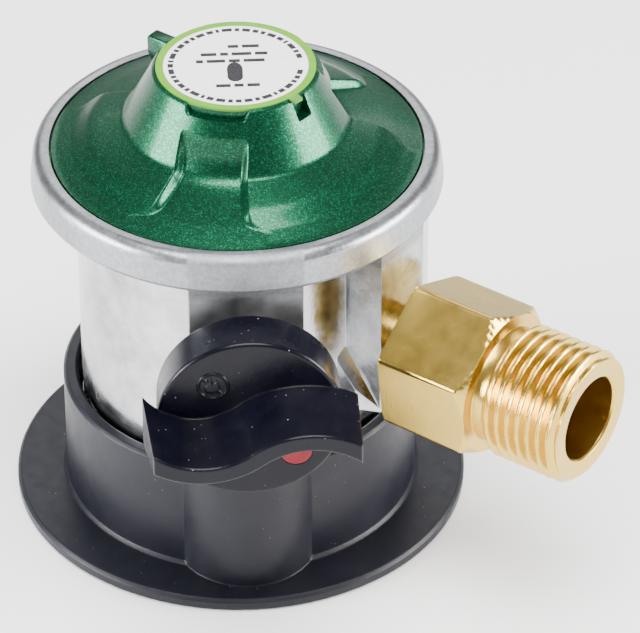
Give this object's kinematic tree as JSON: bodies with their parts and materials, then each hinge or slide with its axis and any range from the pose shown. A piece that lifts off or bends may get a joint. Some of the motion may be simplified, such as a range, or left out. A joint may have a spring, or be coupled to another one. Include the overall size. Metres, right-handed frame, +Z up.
{
  "type": "gas regulator",
  "caption": "Clip-on low-pressure gas regulator: cast body with green domed cap, sliding black locking collar, on/off knob with S-shaped grip, and a brass outlet with a male pipe thread.",
  "frame": {"origin": "centre of the valve socket's mouth, on the body's vertical axis, level with the underside of the base flange", "axes": "+Z up along the body's axis; -Y points out of the knob; the outlet points to the right and front, 39 degrees from +X towards -Y"},
  "size_m": [0.0929, 0.0865, 0.0776],
  "materials": {
    "cast_metal": "polished die casting",
    "green_paint": "metallic fleck enamel",
    "label_film": "printed film",
    "black_plastic": "satin moulded",
    "red_plastic": "gloss",
    "brass": "machined",
    "sintered_bronze": "sintered grain",
    "steel": "plain",
    "rubber": "moulded"
  },
  "bodies": {
    "housing": {"body": "cast_metal", "cap": "green_paint", "label": "label_film", "collar_spring": "steel", "collar_retaining_ring": "steel", "spindle_gland": "brass", "spindle_seal": "rubber", "plunger_spring": "steel", "plunger_seal": "rubber", "inlet_seal": "rubber", "inlet_filter": "sintered_bronze", "nozzle": "brass", "lever_bracket": "steel", "lever_pin": "steel", "diaphragm": "rubber", "main_spring": "steel", "adjusting_screw": "cast_metal", "outlet_adapter": "brass", "outlet_seal": "rubber"},
    "knob": {"knob": "black_plastic", "on_mark": "red_plastic", "knob_pin": "steel", "knob_spindle": "steel"},
    "plunger": {"plunger": "brass"},
    "collar": {"locking_collar": "black_plastic"},
    "ball_1": {"locking_ball_1": "steel"},
    "ball_2": {"locking_ball_2": "steel"},
    "ball_3": {"locking_ball_3": "steel"},
    "diaphragm_stack": {"diaphragm_plate": "steel", "diaphragm_washer": "steel", "diaphragm_stem": "brass"},
    "lever": {"valve_lever": "steel", "valve_pad": "rubber"}
  },
  "joints": [
    {"name": "knob_turn", "type": "hinge", "parent": "housing", "child": "knob", "pos_m": [0, -0.033, 0.041], "axis": [0, -1, 0], "range_deg": [0, 180]},
    {"name": "plunger_push", "type": "slide", "parent": "housing", "child": "plunger", "axis": [0, 0, -1], "range_m": [0, 0.0028], "deforming": ["plunger_spring"]},
    {"name": "collar_lift", "type": "slide", "parent": "housing", "child": "collar", "axis": [0, 0, 1], "range_m": [0, 0.006], "stiffness_N_per_m": 500, "springref_m": -0.004, "deforming": ["collar_spring"]},
    {"name": "diaphragm_lift", "type": "slide", "parent": "housing", "child": "diaphragm_stack", "axis": [0, 0, 1], "range_m": [0, 0.001], "stiffness_N_per_m": 1500, "springref_m": -0.004, "deforming": ["diaphragm", "main_spring"]},
    {"name": "lever_tilt", "type": "hinge", "parent": "housing", "child": "lever", "pos_m": [0, 0.009, 0.0538], "axis": [-1, 0, 0], "range_deg": [0, 6.4]},
    {"name": "ball_1_slide", "type": "slide", "parent": "housing", "child": "ball_1", "axis": [0, 1, 0], "range_m": [0, 0.0009]},
    {"name": "ball_2_slide", "type": "slide", "parent": "housing", "child": "ball_2", "axis": [-0.866, -0.5, 0], "range_m": [0, 0.0009]},
    {"name": "ball_3_slide", "type": "slide", "parent": "housing", "child": "ball_3", "axis": [0.866, -0.5, 0], "range_m": [0, 0.0009]}
  ],
  "couplings": [
    {"joint": "plunger_push", "follows": "knob_turn", "m_per_rad": 0.0008912},
    {"joint": "lever_tilt", "follows": "diaphragm_lift", "rad_per_m": 111.3},
    {"joint": "ball_1_slide", "follows": "collar_lift", "ratio": 0.15},
    {"joint": "ball_2_slide", "follows": "collar_lift", "ratio": 0.15},
    {"joint": "ball_3_slide", "follows": "collar_lift", "ratio": 0.15}
  ]
}
